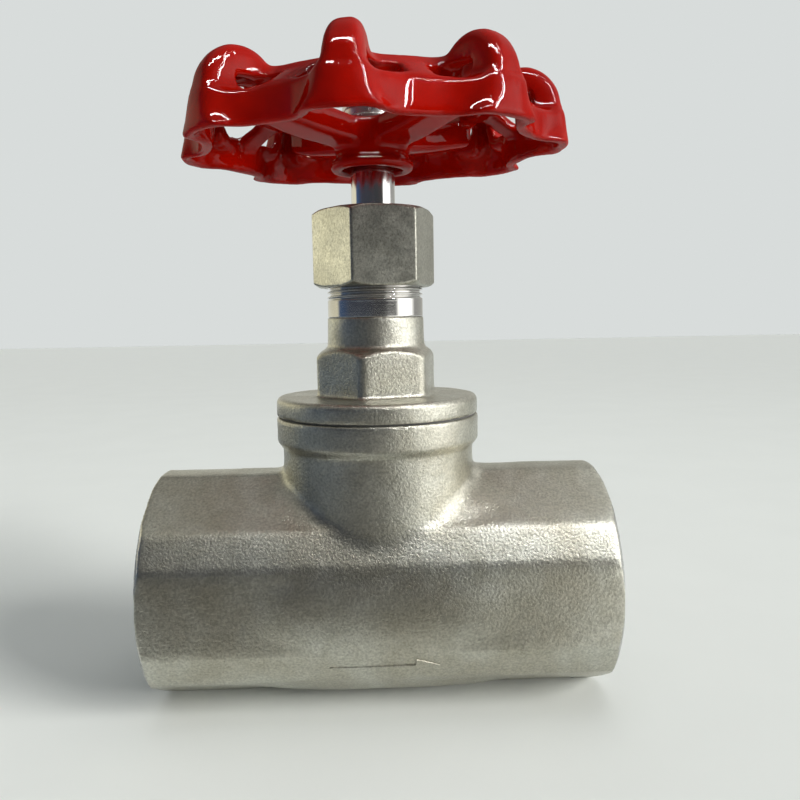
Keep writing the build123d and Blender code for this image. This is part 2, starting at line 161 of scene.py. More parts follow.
def rounded(corners):
    """Outline points from (radius, height, fillet) corners, each fillet drawn as a short arc."""
    points = []
    count = len(corners)
    for k, (r, z, fillet) in enumerate(corners):
        if not fillet:
            points.append((r, z))
            continue
        here = np.array((r, z))
        before, after = (np.array(corners[(k + j) % count][:2]) - here for j in (-1, 1))
        start = here + before / np.linalg.norm(before) * fillet
        end = here + after / np.linalg.norm(after) * fillet
        for t in np.linspace(0, 1, FILLET_STEPS + 1):
            points.append(tuple((1 - t) ** 2 * start + 2 * t * (1 - t) * here + t * t * end))
    return points


def held(outline):
    """Adds a point near both ends of each long run, so that its shading stays straight."""
    points = []
    for here, after in zip(outline, outline[1:] + outline[:1]):
        a, b = np.array(here), np.array(after)
        length = np.linalg.norm(b - a)
        points.append(here)
        if length > 6 * SHADING_MARGIN:
            points.append(tuple(a + (b - a) * SHADING_MARGIN / length))
            points.append(tuple(b - (b - a) * SHADING_MARGIN / length))
    return points


def stretch(radius, low, high, step):
    """Evenly spaced outline corners of a straight length, for a thread to be cut in."""
    count = max(1, round(abs(high - low) / step))
    return [(radius, low + (high - low) * k / count, 0) for k in range(count + 1)]


def thread(pitch, depth, low, high, at_radius):
    """Right-hand thread for turned(): what it adds to the radius, faded at both ends, near at_radius."""
    steepness, flat_half, tolerance = 3.4, 0.3, 0.01

    def offset(angle, radius, height):
        phase = (height / pitch - angle / (2 * math.pi)) % 1.0
        tooth = np.clip(steepness * np.abs(phase - 0.5) - flat_half, 0, 1)
        ends = np.clip(np.minimum(height - low, high - height) / pitch, 0, 1)
        return depth * tooth * ends * (np.abs(radius - at_radius) < tolerance)
    return offset


def turned(name, corners, threads=(), segments=128, place=UPRIGHT):
    """Solid of revolution of a closed outline, drawn counter-clockwise with the radius to the right."""
    outline = held(rounded(corners))
    angles = np.linspace(0, 2 * math.pi, segments, endpoint=False)
    points, rows = [], []
    for radius, height in outline:
        start = len(points)
        if radius < 1e-6:
            points.append((0, 0, height))
            rows.append([start] * segments)
            continue
        r = np.full(segments, float(radius))
        for offset in threads:
            r = r + offset(angles, radius, height)
        points.extend(zip(r * np.cos(angles), r * np.sin(angles), np.full(segments, height)))
        rows.append(list(range(start, start + segments)))
    faces = []
    for low, high in zip(rows, rows[1:] + rows[:1]):
        for k in range(segments):
            j = (k + 1) % segments
            loop = [low[k], low[j], high[j], high[k]]
            loop = [p for i, p in enumerate(loop) if p != loop[i - 1]]
            if len(loop) > 2:
                faces.append(loop)
    return new_piece(name, points, faces, place)


def merge(pieces):
    """Joins pieces into the first one, keeping their materials."""
    with bpy.context.temp_override(active_object=pieces[0], object=pieces[0],
                                   selected_objects=pieces, selected_editable_objects=pieces):
        bpy.ops.object.join()
    return pieces[0]


def finish_faces(piece, slot, chosen):
    """Gives another material slot to the faces whose centres, in millimetres, chosen() picks."""
    count = len(piece.data.polygons)
    centres = np.empty(count * 3)
    piece.data.polygons.foreach_get("center", centres)
    x, y, z = centres.reshape(count, 3).T / MM
    index = np.empty(count, int)
    piece.data.polygons.foreach_get("material_index", index)
    index[chosen(x, y, z - PIPE_AXIS)] = slot
    piece.data.polygons.foreach_set("material_index", index)


# ---------------------------------------------------------------- materials
class Tree:
    """Short calls for the nodes of a material or a world; noise sizes are in millimetres."""

    def __init__(self, owner):
        owner.use_nodes = True
        self.nodes = owner.node_tree.nodes
        self.links = owner.node_tree.links

    def feed(self, socket, value):
        """Links a socket to a source, or sets it to a number, a vector or a colour."""
        if isinstance(value, bpy.types.NodeSocket):
            self.links.new(value, socket)
        elif socket.type == "RGBA":
            socket.default_value = (*value, 1)
        else:
            socket.default_value = value

    def node(self, kind, values=None):
        """New node, with its inputs fed by name or number."""
        node = self.nodes.new("ShaderNode" + kind)
        for key, value in (values or {}).items():
            self.feed(node.inputs[key], value)
        return node

    def ramp(self, value, *stops):
        """Colour or grey level by value, from (position, level or colour) stops."""
        node = self.node("ValToRGB", {"Fac": value})
        elements = node.color_ramp.elements
        while len(elements) < len(stops):
            elements.new(0.5)
        for element, (position, level) in zip(elements, stops):
            element.position = position
            colour = level if isinstance(level, tuple) else (level, level, level)
            element.color = (*colour, 1)
        return node.outputs["Color"]

    def blend(self, kind, amount, a, b):
        """Mixes two colours; amount is a number or a source."""
        node = self.nodes.new("ShaderNodeMix")
        node.data_type = "RGBA"
        node.blend_type = kind
        for socket, value in ((node.inputs[0], amount), (node.inputs[6], a), (node.inputs[7], b)):
            self.feed(socket, value)
        return node.outputs[2]

    def maths(self, kind, a, b):
        """Result of one operation on two numbers or sources."""
        node = self.node("Math", {0: a, 1: b})
        node.operation = kind
        return node.outputs[0]


class Shader(Tree):
    """A principled material."""

    def __init__(self, name, **sockets):
        self.material = bpy.data.materials.new(name)
        super().__init__(self.material)
        self.surface = self.nodes["Principled BSDF"]
        self.place = self.node("TexCoord").outputs["Object"]
        for socket, value in sockets.items():
            self.surface.inputs[socket.replace("_", " ")].default_value = value

    def set(self, socket, source):
        """Links a source to one of the surface's sockets."""
        self.links.new(source, self.surface.inputs[socket])

    def scaled(self, x, y, z):
        """Object coordinates stretched along the axes."""
        return self.node("Mapping", {"Scale": (x, y, z), "Vector": self.place}).outputs["Vector"]

    def noise(self, size, detail=3.0, rough=0.55, warp=0.0, vector=None):
        """Noise whose lumps are about size millimetres."""
        node = self.node("TexNoise", {"Scale": 1 / (size * MM), "Detail": detail, "Roughness": rough,
                                      "Distortion": warp, "Vector": vector or self.place})
        return node.outputs["Fac"]

    def cells(self, size):
        """Distance to the nearest of scattered points about size millimetres apart."""
        node = self.node("TexVoronoi", {"Scale": 1 / (size * MM), "Vector": self.place})
        return node.outputs["Distance"]

    def along(self, axis):
        """One object coordinate, in metres."""
        return self.node("SeparateXYZ", {"Vector": self.place}).outputs[axis]

    def bump(self, *layers):
        """Stacks (height, depth in millimetres, strength) layers into the surface normal."""
        last = None
        for height, depth, strength in layers:
            node = self.node("Bump", {"Distance": depth * MM, "Strength": strength, "Height": height})
            if last:
                self.links.new(last, node.inputs["Normal"])
            last = node.outputs["Normal"]
        self.set("Normal", last)


def cast_stainless():
    """Bead-blasted investment casting: grain, pits, brown and grey staining."""
    s = Shader("cast_stainless", Metallic=1.0)
    grain = s.noise(0.72, 4, 0.6)
    lumps = s.noise(3.0, 3, 0.6)
    patches = s.ramp(s.noise(30, 3, 0.6, 0.6), (0.40, 0.0), (0.62, 1.0))
    cloud = s.ramp(s.noise(12, 4, 0.65, 0.8), (0.35, 0.0), (0.66, 1.0))
    steel = s.blend("MIX", cloud, (0.60, 0.597, 0.535), (0.51, 0.503, 0.435))
    stained = s.blend("MIX", s.maths("MULTIPLY", patches, 0.5), steel, (0.38, 0.345, 0.265))
    grained = s.blend("MULTIPLY", 0.5, stained, s.ramp(grain, (0.36, 0.60), (0.64, 1.35)))
    pits = s.ramp(s.cells(2.6), (0.0, 0.0), (0.12, 1.0))
    s.set("Base Color", s.blend("MULTIPLY", 0.55, grained, s.ramp(pits, (0.0, 0.35), (1.0, 1.0))))
    s.set("Roughness", s.ramp(s.noise(8, 3), (0.3, 0.28), (0.7, 0.37)))
    s.bump((lumps, 0.12, 0.5), (grain, 0.19, 0.9), (s.noise(0.34, 2, 0.5), 0.05, 0.6), (pits, 0.08, 0.4))
    return s.material


def machined_stainless(name, turns, tint, low, high):
    """Turned or faced metal: faint smears, and tool lines that turns packs close along one axis."""
    s = Shader(name, Metallic=1.0)
    lines = s.noise(9, 2, 0.7, 0, s.scaled(*turns))
    smears = s.noise(9, 3, 0.6, 0.5)
    darker = tuple(0.82 * c for c in tint)
    s.set("Base Color", s.blend("MIX", s.ramp(smears, (0.35, 0.0), (0.7, 0.7)), tint, darker))
    s.set("Roughness", s.ramp(smears, (0.3, low), (0.7, high)))
    s.bump((lines, 0.012, 0.5), (s.noise(0.5, 2), 0.004, 0.35))
    return s.material


def milled_stainless():
    """Bar stock with milled flats: satin, with faint lines across the flats and a mottled film."""
    s = Shader("milled_stainless", Metallic=1.0)
    film = s.noise(4.5, 4, 0.6, 0.3)
    cloud = s.noise(11, 3, 0.6, 0.4)
    streaks = s.noise(0.6, 3, 0.65, 0, s.scaled(1, 1, 0.75))
    grain = s.noise(0.3, 3, 0.6)
    lines = s.noise(7, 2, 0.7, 0, s.scaled(1, 1, 34))
    cloudy = s.ramp(cloud, (0.35, 0.0), (0.65, 1.0))
    warm = s.blend("MIX", cloudy, (0.52, 0.515, 0.45), (0.43, 0.425, 0.365))
    mottled = s.blend("MULTIPLY", 0.55, warm, s.ramp(streaks, (0.34, 0.42), (0.60, 1.2)))
    s.set("Base Color", s.blend("MULTIPLY", 0.45, mottled, s.ramp(grain, (0.34, 0.5), (0.66, 1.3))))
    s.set("Roughness", s.ramp(film, (0.3, 0.28), (0.7, 0.38)))
    s.bump((film, 0.04, 0.2), (streaks, 0.03, 0.5), (grain, 0.02, 0.5), (lines, 0.008, 0.4))
    return s.material


def polished_stainless():
    """Ground and polished stem: nearly mirror bright, hairline rings and a few long marks."""
    s = Shader("polished_stainless", Metallic=1.0)
    rings = s.noise(6, 2, 0.7, 0, s.scaled(1, 1, 70))
    marks = s.noise(1.6, 2, 0.6, 0, s.scaled(1, 1, 0.06))
    s.set("Base Color", s.ramp(marks, (0.3, (0.60, 0.60, 0.60)), (0.7, (0.72, 0.71, 0.70))))
    s.set("Roughness", s.ramp(marks, (0.3, 0.07), (0.75, 0.17)))
    s.bump((rings, 0.006, 0.4), (marks, 0.004, 0.3))
    return s.material


def plated_steel():
    """Zinc plate: bluish grey with a slight yellow bloom."""
    s = Shader("plated_steel", Metallic=1.0)
    bloom = s.noise(5, 3, 0.6, 0.6)
    s.set("Base Color", s.ramp(bloom, (0.32, (0.55, 0.57, 0.60)), (0.68, (0.58, 0.54, 0.46))))
    s.set("Roughness", s.ramp(s.noise(2, 3), (0.3, 0.22), (0.7, 0.36)))
    s.bump((s.noise(0.6, 3), 0.012, 0.4), (s.noise(3, 2), 0.03, 0.3))
    return s.material


def red_enamel():
    """Thick dipped enamel: deep red, glossy, uneven where it ran and pooled."""
    s = Shader("red_enamel", Metallic=0.0, Specular_IOR_Level=0.0,
               Coat_Weight=0.3, Coat_Roughness=0.02, Coat_IOR=1.5)
    pool = s.noise(24, 3, 0.55, 0.4)
    haze = s.noise(5, 3, 0.6)
    colour = s.ramp(pool, (0.3, (0.23, 0.0019, 0.0002)), (0.7, (0.34, 0.0034, 0.0003)))
    s.set("Base Color", s.blend("MULTIPLY", 0.35, colour, s.ramp(haze, (0.3, 0.78), (0.7, 1.1))))
    s.set("Roughness", s.ramp(haze, (0.3, 0.14), (0.7, 0.24)))
    nibs = s.ramp(s.cells(6.5), (0.0, 1.0), (0.07, 0.0))
    s.bump((s.noise(14, 2), 0.35, 0.35), (s.noise(4.2, 2), 0.06, 0.4), (s.noise(1.5, 2), 0.012, 0.3),
           (nibs, 0.05, 0.35))
    return s.material


def ptfe(name, brightness):
    """Pressed and turned PTFE: milky white with faint turning marks."""
    s = Shader(name, Metallic=0.0, Specular_IOR_Level=0.4, Subsurface_Weight=0.15,
               Subsurface_Radius=(0.002, 0.002, 0.0018))
    cloud = s.noise(4, 3, 0.6)
    dull, pale = (tuple(brightness * c for c in tint) for tint in ((0.80, 0.80, 0.77), (0.88, 0.88, 0.86)))
    s.set("Base Color", s.ramp(cloud, (0.3, dull), (0.7, pale)))
    s.set("Roughness", s.ramp(cloud, (0.3, 0.42), (0.7, 0.55)))
    s.bump((s.noise(5, 2, 0.6, 0, s.scaled(1, 1, 50)), 0.01, 0.4))
    return s.material


CAST = cast_stainless()
MACHINED = machined_stainless("machined_stainless", (1, 1, 60), (0.60, 0.59, 0.57), 0.09, 0.17)
FACED = machined_stainless("faced_ends", (60, 1, 1), (0.63, 0.62, 0.60), 0.2, 0.32)
MILLED = milled_stainless()
POLISHED = polished_stainless()
PLATED = plated_steel()
ENAMEL = red_enamel()
PTFE = ptfe("ptfe", 1.0)
# The gasket is the same PTFE darkened to 0.12: painted shade in the narrow joint between body and bonnet.
SHADED_GASKET = ptfe("ptfe_painted_shade", 0.12)


# ---------------------------------------------------------------- body casting
# All lengths below are in millimetres, and heights are from the pipe axis.
FLAT = 33.42                      # apothem of the hexagon's flats
BEVEL = 35.36                     # apothem of the bevels that replace its corners
HALF_LENGTH = 70.0
END_SLOPE = 0.7                   # of the turned cone round each end
END_GAP = 0.005                   # keeps the end faces inside the true length
BASE_GAP = 0.02                   # keeps the ripples off the table
GLOBE = 35.3                      # radius of the globe, which swells out of the flats
GLOBE_REACH = 39.0                # half the length of that swelling
GLOBE_DROP = 1.88                 # how much the radius falls over it
NECK = 30.2
COLLAR = 32.0
COLLAR_BOTTOM = 43.0
COLLAR_FLARE = 3.0                # height over which the neck widens into the collar
COLLAR_TOP = 53.1
BRIDGE_BOTTOM = -3.5
BRIDGE_TOP = 2.0
PASSAGE = 25.0                    # radius of the passages under and over the bridge
PASSAGE_END = 43.0
CHAMBER = 26.0                    # radius of the chamber over the bridge
BONNET_BORE = 27.0
BONNET_BORE_BOTTOM = 41.0
SEAT = 21.0
SEAT_BORE = 19.0
SEAT_TOP = 3.95
PORT_CREST = 28.3
PORT_ROOT = 29.7
PORT_DEPTH = 25.0
PORT_PITCH = 2.31
RELIEF = 28.9                     # groove behind the port's thread
ARROW_TAIL, ARROW_NECK, ARROW_TIP = -15.6, 9.4, 16.6
ARROW_HEIGHT = 0.42


def flow_arrow():
    """Raised arrow on the lower front bevel, pointing at the outlet."""
    g = Grid((-17, -3.6, -0.9), (18, 5, 0.9), 0.16)
    middle, half_width, head_slope, edge = 0.7, 0.42, 0.4375, 0.3
    across = np.abs(g.y - middle)
    shaft = keep(slab(g.x, ARROW_TAIL, 10.5), across - half_width, edge)
    head = keep(ARROW_NECK - g.x, (across - (ARROW_TIP - g.x) * head_slope) * 0.92, edge)
    mark = keep(join(shaft, head, edge), g.z - ARROW_HEIGHT + 0.006 * np.abs(g.x), 0.35)
    down = math.radians(-30)
    normal = (0, -math.cos(down), math.sin(down))
    up = (0, math.sin(down), math.cos(down))
    place = UPRIGHT @ Matrix(((1, 0, 0, 0), (0, up[1], normal[1], BEVEL * normal[1]),
                              (0, up[2], normal[2], BEVEL * normal[2]), (0, 0, 0, 1)))
    return skin(g, mark, "flow_arrow", place=place)


def port_thread(name, sign):
    """Pipe thread inside one end of the body."""
    wall = PORT_ROOT + 0.6
    mouth = HALF_LENGTH - 0.12
    inner = HALF_LENGTH - PORT_DEPTH
    corners = [(wall, mouth, 0), (PORT_ROOT + 0.3, mouth, 0), (PORT_CREST, HALF_LENGTH - 2.0, 0)]
    corners += stretch(PORT_CREST, HALF_LENGTH - 2.2, inner + 0.3, 0.22)
    corners += [(wall, inner, 0)]
    groove = thread(PORT_PITCH, PORT_ROOT - PORT_CREST, inner, HALF_LENGTH + 3, PORT_CREST)
    place = UPRIGHT @ Matrix.Rotation(sign * math.radians(90), 4, "Y")
    return turned(name, corners, [groove], 144, place)


def body_outside(g):
    """Hexagonal pipe with bevelled corners, the globe that swells its flats, and the collared neck."""
    pipe = np.hypot(g.y, g.z)
    edge = 0.8
    flats = hexagon(-g.y, g.z, FLAT, 0, edge)
    bevels = hexagon(-g.y, g.z, BEVEL, 30, edge)
    tube = keep(flats, bevels, edge) + 0 * g.x
    globe = pipe - (GLOBE - GLOBE_DROP * (np.abs(g.x) / GLOBE_REACH) ** 3)
    tube = join(tube, globe, 0.3)

    flare = np.clip((g.z - COLLAR_BOTTOM) / COLLAR_FLARE, 0, 1)
    neck_wall = NECK + (COLLAR - NECK) * flare * flare * (3 - 2 * flare)
    neck = keep((g.radius - neck_wall) * 0.9, g.z - COLLAR_TOP, 0.5)
    neck = keep(neck, -g.z, 0.5)
    fillet = 1.7 + 1.9 * np.clip(np.abs(g.x) / NECK, 0, 1) ** 2
    solid = join(tube, neck, fillet)
    solid = solid + ripple(g, 30, 0.16, 3) + ripple(g, 9, 0.06, 4)

    solid = np.maximum(solid, -g.z - BEVEL + BASE_GAP)
    ends = np.abs(g.x) - HALF_LENGTH + END_GAP
    cone = (ends + END_SLOPE * (pipe - FLAT)) / math.hypot(1, END_SLOPE)
    solid = np.maximum(solid, np.maximum(ends, cone))
    return np.maximum(solid, g.z - COLLAR_TOP)


def body_hollow(g):
    """Inlet passage under the bridge, outlet passage over it, the chamber and the bonnet's bore."""
    # Each half plane is a slanting wall of the bridge, drawn through two (x, height) points.
    pipe = np.hypot(g.y, g.z)
    soft, sharp = 2.0, 1.5
    under = join(half_plane(g.x, g.z, (-27, BRIDGE_BOTTOM), (-35, 26)), g.z - BRIDGE_BOTTOM, soft)
    under = keep(under, half_plane(g.x, g.z, (30, -26), (22, BRIDGE_BOTTOM)), soft)
    under = keep(under, pipe - PASSAGE, sharp)
    over = join(half_plane(g.x, g.z, (35, -26), (28, BRIDGE_TOP)), BRIDGE_TOP - g.z, soft)
    over = keep(over, -g.x, 0.5)
    over = keep(over, pipe - PASSAGE, sharp)
    chamber = keep(g.radius - CHAMBER, BRIDGE_TOP - g.z, sharp)
    mouth = np.maximum(g.radius - BONNET_BORE, BONNET_BORE_BOTTOM - g.z)
    over = join(over, np.minimum(chamber, mouth), sharp)
    return np.maximum(np.minimum(under, over), np.abs(g.x) - PASSAGE_END)


def body():
    """Body casting with its seat, threaded ports and flow arrow."""
    g = Grid((-71.2, -37.6, -37.6), (71.2, 37.6, COLLAR_TOP + 1.5), 0.6)
    solid = cut(body_outside(g), body_hollow(g), 0.8)
    solid = np.minimum(solid, np.maximum(g.radius - SEAT, slab(g.z, 0, SEAT_TOP)))
    solid = np.maximum(solid, -np.maximum(g.radius - SEAT_BORE, slab(g.z, -6, 5)))
    pipe = np.hypot(g.y, g.z)
    port = np.maximum(pipe - PORT_ROOT - 0.2, HALF_LENGTH - PORT_DEPTH - np.abs(g.x))
    relief = np.maximum(pipe - RELIEF, slab(np.abs(g.x), 42, 46))
    solid = np.maximum(solid, -np.minimum(port, relief))

    casting = skin(g, solid, "body_casting", adaptivity=0.015, relax=1)
    for material in (CAST, FACED, MACHINED):
        casting.data.materials.append(material)

    def faced(x, y, z):
        r = np.hypot(y, z)
        return (np.abs(x) + END_SLOPE * (r - FLAT) > HALF_LENGTH - 0.16) | (np.abs(x) > HALF_LENGTH - 0.1)

    def seat(x, y, z):
        return (np.hypot(x, y) < SEAT + 0.2) & (z > -4) & (z < SEAT_TOP + 0.25)
    finish_faces(casting, 1, faced)
    finish_faces(casting, 2, seat)
    threads = [port_thread("thread_inlet", -1), port_thread("thread_outlet", 1)]
    for piece in threads:
        piece.data.materials.append(FACED)
    arrow = flow_arrow()
    arrow.data.materials.append(CAST)
    piece = merge([casting, arrow] + threads)
    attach(piece, "valve_body")
    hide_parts("body")


# ---------------------------------------------------------------- bonnet
FLANGE = 31.85
FLANGE_BOTTOM = 53.6
FLANGE_TOP = 59.3
BONNET_HEX = 17.25                # apothem
BONNET_HEX_PHASE = 47             # degrees from +X to its first flat
BONNET_HEX_TOP = 73.9
BARREL = 15.05
CAST_TOP = 83.8                   # the barrel is turned above this height
SPIGOT = 26.9                     # screwed into the body's bore
SPIGOT_BOTTOM = 42.0
BAND = 14.95
GLAND_THREAD = 14.96
GLAND_THREAD_BOTTOM = 88.6
GLAND_PITCH = 1.5
BONNET_TOP = 108.5
STUFFING_BOX = 10.5
STUFFING_FLOOR = 88.0
BACK_SEAT = 7.2
STEM_BORE = 8.3


def bonnet_core():
    """Turned spigot, band, gland thread and stuffing box."""
    lining = 12.4                 # hidden inside the casting
    corners = [(20.5, SPIGOT_BOTTOM, 0.4), (SPIGOT, SPIGOT_BOTTOM, 0.8), (SPIGOT, FLANGE_BOTTOM, 0),
               (lining, FLANGE_BOTTOM + 0.1, 0), (lining, CAST_TOP - 0.1, 0), (BAND, CAST_TOP - 0.1, 0.25),
               (BAND, STUFFING_FLOOR + 0.4, 0)]
    corners += stretch(GLAND_THREAD, GLAND_THREAD_BOTTOM, BONNET_TOP - 1, 0.125)
    corners += [(13.9, BONNET_TOP, 0.2), (STUFFING_BOX, BONNET_TOP, 0.2), (STUFFING_BOX, STUFFING_FLOOR, 0),
                (BACK_SEAT, STUFFING_FLOOR, 0), (BACK_SEAT, 84.0, 0), (STEM_BORE, 83.0, 0),
                (STEM_BORE, 53.0, 0.3), (20.5, 49.0, 0.3)]
    ridge = thread(GLAND_PITCH, -0.9, GLAND_THREAD_BOTTOM + 0.2, 112, GLAND_THREAD)
    core = turned("bonnet_core", corners, [ridge], 144)
    core.data.materials.append(MACHINED)
    return core


def bonnet():
    """Cast disc, hexagon and barrel round the turned core."""
    g = Grid((-33, -33, 52.4), (33, 33, 84.6), 0.42)
    uneven = 0.1 * np.sin(3 * np.arctan2(g.y, g.x))
    flange = keep(g.radius - FLANGE - uneven, FLANGE_BOTTOM - g.z, 0.4)
    flange = keep(flange, g.z - FLANGE_TOP, 2.2)
    hexa = hexagon(g.x, g.y, BONNET_HEX, BONNET_HEX_PHASE, 1.7)
    hexa = keep(hexa, slab(g.z, 57, BONNET_HEX_TOP), 0.9)
    corner_radius, corner_height, steepness = 18.4, 72.6, 1.25     # cone that bevels the hexagon's corners
    cone = (g.radius - corner_radius + steepness * (g.z - corner_height)) / 1.6
    hexa = keep(hexa, cone, 0.8)
    draft = 0.03 * np.clip(84 - g.z, 0, 8)
    barrel = keep(g.radius - BARREL - draft, slab(g.z, 57, CAST_TOP), 0.4)
    solid = join(join(flange, hexa, 1.5), barrel, 1.9)
    solid = solid + ripple(g, 20, 0.14, 7) + ripple(g, 6, 0.05, 8)
    solid = np.maximum(solid, slab(g.z, FLANGE_BOTTOM, CAST_TOP))
    solid = np.maximum(solid, 12.0 - g.radius)
    casting = skin(g, solid, "bonnet_casting", adaptivity=0.01, relax=1)
    casting.data.materials.append(CAST)
    casting.data.materials.append(MACHINED)
    finish_faces(casting, 1, lambda x, y, z: z > CAST_TOP - 0.1)
    piece = merge([casting, bonnet_core()])
    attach(piece, "valve_body")
    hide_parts("bonnet")


# ---------------------------------------------------------------- nuts and washers
def node_heights(node):
    """Lowest and highest point of a CAD node, in millimetres from the pipe axis."""
    return (corner.z / MM - PIPE_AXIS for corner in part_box(node))


def hex_nut(name, node, body_name, material, apothem, phase, hole, recess, step):
    """Hexagon nut in the place of its CAD node: chamfered corners, rounded edges, recess below its web."""
    bottom, top = node_heights(node)
    reach = apothem * 1.2
    edge = 0.35
    g = Grid((-reach, -reach, bottom - 1), (reach, reach, top + 1), step)
    solid = keep(hexagon(g.x, g.y, apothem, phase, edge), slab(g.z, bottom, top), edge)
    chamfer = (g.radius - apothem - edge) * 0.5         # a cone at 30 degrees to the end faces
    for beyond in (g.z - top, bottom - g.z):
        solid = keep(solid, chamfer + beyond * 0.87, 0.3)
    solid = cut(solid, g.radius - hole, edge)
    if recess:
        radius, web = recess
        solid = np.maximum(solid, -np.maximum(g.radius - radius, g.z - top + web))
    piece = skin(g, solid, name)
    piece.data.materials.append(material)
    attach(piece, body_name)
    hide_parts(node)
    return piece


def flat_washer():
    """Plain washer under the wheel nut."""
    bottom, top = node_heights("wheel_washer")
    hole, rim = 5.3, 9.5
    corners = [(hole, bottom, 0.15), (rim, bottom, 0.35), (rim, top, 0.35), (hole, top, 0.15)]
    piece = turned("washer_flat", corners)
    piece.data.materials.append(PLATED)
    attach(piece, "stem")
    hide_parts("wheel_washer")


# ---------------------------------------------------------------- stem
STEM_BOTTOM = 13.4
STEM_HEAD = 8.0                   # button that hangs in the disc carrier
STEM_HEAD_TOP = 16.2
STEM_NECK = 5.5
STEM_NECK_TOP = 28.2
LIFT_THREAD = 8.0
LIFT_PITCH = 3.0
SHANK = 6.8
SHANK_BOTTOM = 70.2
SHANK_TOP = 132.2
TIP = 5.0
TIP_THREAD = 4.99
TIP_PITCH = 1.5
STEM_TOP = 155.0
HALF_SQUARE = 4.7


def stem():
    """Polished shank with its lifting thread, swivel head, square and tip thread."""
    corners = [(0, STEM_BOTTOM, 0), (7.4, STEM_BOTTOM, 0), (STEM_HEAD, 14.0, 0.2),
               (STEM_HEAD, STEM_HEAD_TOP, 0.2), (STEM_NECK, 16.6, 0.3), (STEM_NECK, STEM_NECK_TOP, 0.3),
               (LIFT_THREAD - 0.01, 29.0, 0)]
    corners += stretch(LIFT_THREAD, 29.2, SHANK_BOTTOM - 2, 0.25)
    corners += [(SHANK, SHANK_BOTTOM, 0.3), (SHANK, SHANK_TOP, 0.25), (TIP, 132.5, 0), (TIP, 142.2, 0)]
    corners += stretch(TIP_THREAD, 142.6, 153.6, 0.15) + [(4.1, STEM_TOP, 0.3), (0, STEM_TOP, 0)]
    lift = thread(LIFT_PITCH, -1.5, STEM_NECK_TOP, 71.0, LIFT_THREAD)
    tip = thread(TIP_PITCH, -0.75, 143.0, 157.0, TIP_THREAD)
    shaft = turned("stem_polished", corners, [lift, tip], 112)

    g = Grid((-5.4, -5.4, 131.8), (5.4, 5.4, 142.8), 0.22)
    square = keep(np.abs(g.x) - HALF_SQUARE, np.abs(g.y) - HALF_SQUARE, 0.5)
    square = keep(square, slab(g.z, 132.3, 142.4), 0.3)
    square = skin(g, square, "stem_square", adaptivity=0.01)
    for part in (shaft, square):
        part.data.materials.append(POLISHED)
    piece = merge([shaft, square])
    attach(piece, "stem")
    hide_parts("stem")


# ---------------------------------------------------------------- handwheel
# Heights below are from the lower edge of the skirt.
WHEEL_BASE = next(node_heights("handwheel")) + 4.7
LOBES = 8
LOBE_PITCH = 2 * math.pi / LOBES
LOBE_PHASE = math.radians(37.9)
LOBE_TIP = 59.1
VALLEY = 51.6                     # outline radius between two lobes
WALL = 3.2
EYE = 32.4                        # round opening in the web
RING = 35.0                       # bead round that opening
RING_HEIGHT = 15.6
SPOKES = 4
SPOKE_DEPTH = 8.0
HUB = 11.3
HUB_LIP = 12.8
HUB_BOTTOM = -4.7
HUB_TOP = 9.1
HUB_RECESS = 9.3
HALF_SOCKET = 4.75                # of the hub's square hole
OUT_OF_TRUE = (0.0074, 0.0156)    # slopes of the rim along X and Y, as cast


def wheel_rim(g, z, angle, along, across):
    """Wavy skirt and sloping web, with a hollow lobe at each crest."""
    crest = (0.5 + 0.5 * np.cos(LOBES * angle)) ** 1.4              # 1 at each lobe, 0 in each valley
    outline = VALLEY + (LOBE_TIP - VALLEY) * crest
    lean = 0.11 * np.clip(z, -6, 12)
    skirt = (g.radius - outline + lean) * 0.9
    web_top = np.interp(g.radius.ravel(), (30, 36.5, 50.5, 60), (18.2, 18.0, 9.8, 9.4))
    mound = keep(skirt, (z - web_top.reshape(g.radius.shape)) * 0.86, 1.8)

    crown_middle, crown_foot, crown_half, crown_rise = 45.9, 11.0, 11.5, 12.9
    nose = along - LOBE_TIP + 0.4 + 0.15 * z
    heel = 35.5 - along
    crown = (np.hypot((along - crown_middle) / crown_half, (z - crown_foot) / crown_rise) - 1) * crown_half
    arch = np.where(z > crown_foot, crown, keep(nose, heel, 1.0))
    width = 4.6 + 0.055 * np.clip(24 - z, 0, 30) + 5.5 * np.exp(-np.clip(z, 0, 30) / 4.2)
    fin = keep(arch, across - width, 4.2)
    envelope = join(mound, fin, 3.4)

    shell = cut(envelope, envelope + WALL, 0.3)
    shell = keep(shell, -z, 1.3)
    from_ring = np.maximum(np.abs(g.radius - RING) - 0.7, 0)
    ring = np.hypot(from_ring, np.maximum(np.abs(z - RING_HEIGHT) - 0.9, 0)) - 1.9
    shell = join(shell, ring, 2.0)
    return cut(shell, g.radius - EYE, 1.6)


def wheel_windows(g, z, angle, across, to_strut):
    """Openings in the web, between each lobe's middle and the struts in the valleys."""
    window = keep(slab(g.radius, 39.2, 48.4), 3.9 - to_strut, 2.2)
    window = keep(window, z - 15.4 - 0.5 * np.cos(7 * angle), 1.5)
    window = keep(window, 2.0 - across, 0.5)
    return window + ripple(g, 5, 0.5, 21)


def wheel_spoke(g, z, turn):
    """Bar that climbs from the hub to the ring."""
    out = g.x * math.cos(turn) + g.y * math.sin(turn)
    side = -g.x * math.sin(turn) + g.y * math.cos(turn)
    rise = 1.2 + 0.14 * np.clip(out - 8, 0, 40) + 0.0022 * np.clip(out - 14, 0, 30) ** 2
    bar = keep(slab(z, rise, rise + SPOKE_DEPTH), np.abs(side) - 6.2, 2.4)
    return keep(bar, slab(out, 5, 38.0), 2.0)


